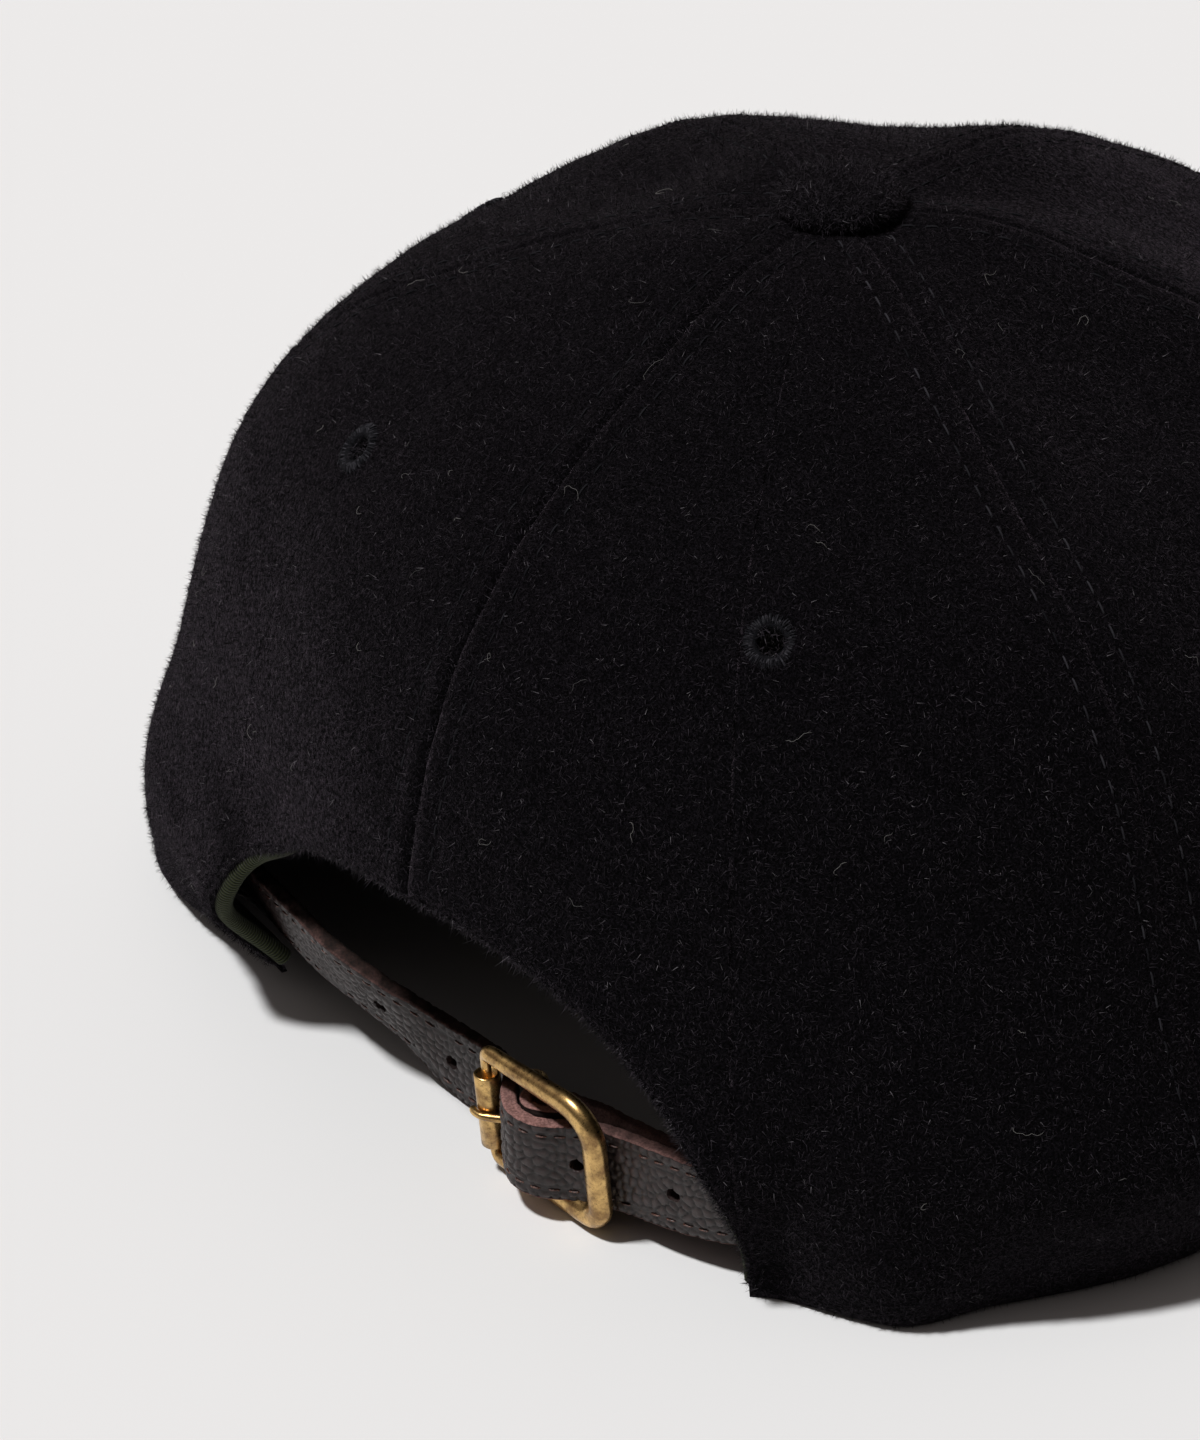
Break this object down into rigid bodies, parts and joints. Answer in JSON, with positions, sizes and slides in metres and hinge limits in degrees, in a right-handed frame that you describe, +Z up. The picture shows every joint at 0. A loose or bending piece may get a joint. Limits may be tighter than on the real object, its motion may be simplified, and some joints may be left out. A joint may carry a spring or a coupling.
{
  "type": "wool baseball cap",
  "caption": "Soft wool cap with a seamed crown, a covered button, stitched eyelets, a curved visor and a leather back strap with a roller buckle.",
  "frame": {"origin": "on the surface that the cap stands on, under the middle of its bounding box", "axes": "+Z up through the crown, +Y towards the back with its strap, -Y along the visor, -X towards the wearer's right"},
  "size_m": [0.1862, 0.2454, 0.1157],
  "materials": {
    "wool": "black felted wool with a soft raised nap and pale lint",
    "eyelet_thread": "black embroidery thread, satin",
    "tape": "olive green ribbed cotton tape, matt",
    "leather": "dark brown pebbled leather with a suede back and edge, stitched",
    "brass": "antique brass, brushed and darkened"
  },
  "bodies": {
    "root": {"rear_right_panel": "wool", "side_right_panel": "wool", "front_right_panel": "wool", "rear_left_panel": "wool", "side_left_panel": "wool", "front_left_panel": "wool", "rear_right_eyelet": "eyelet_thread", "side_right_eyelet": "eyelet_thread", "front_right_eyelet": "eyelet_thread", "rear_left_eyelet": "eyelet_thread", "side_left_eyelet": "eyelet_thread", "front_left_eyelet": "eyelet_thread", "top_button": "wool", "visor": "wool", "arch_tape": "tape", "strap_long": "leather", "strap_tab": "leather", "buckle_frame": "brass", "buckle_roller": "brass", "buckle_prong": "brass"}
  },
  "joints": []
}
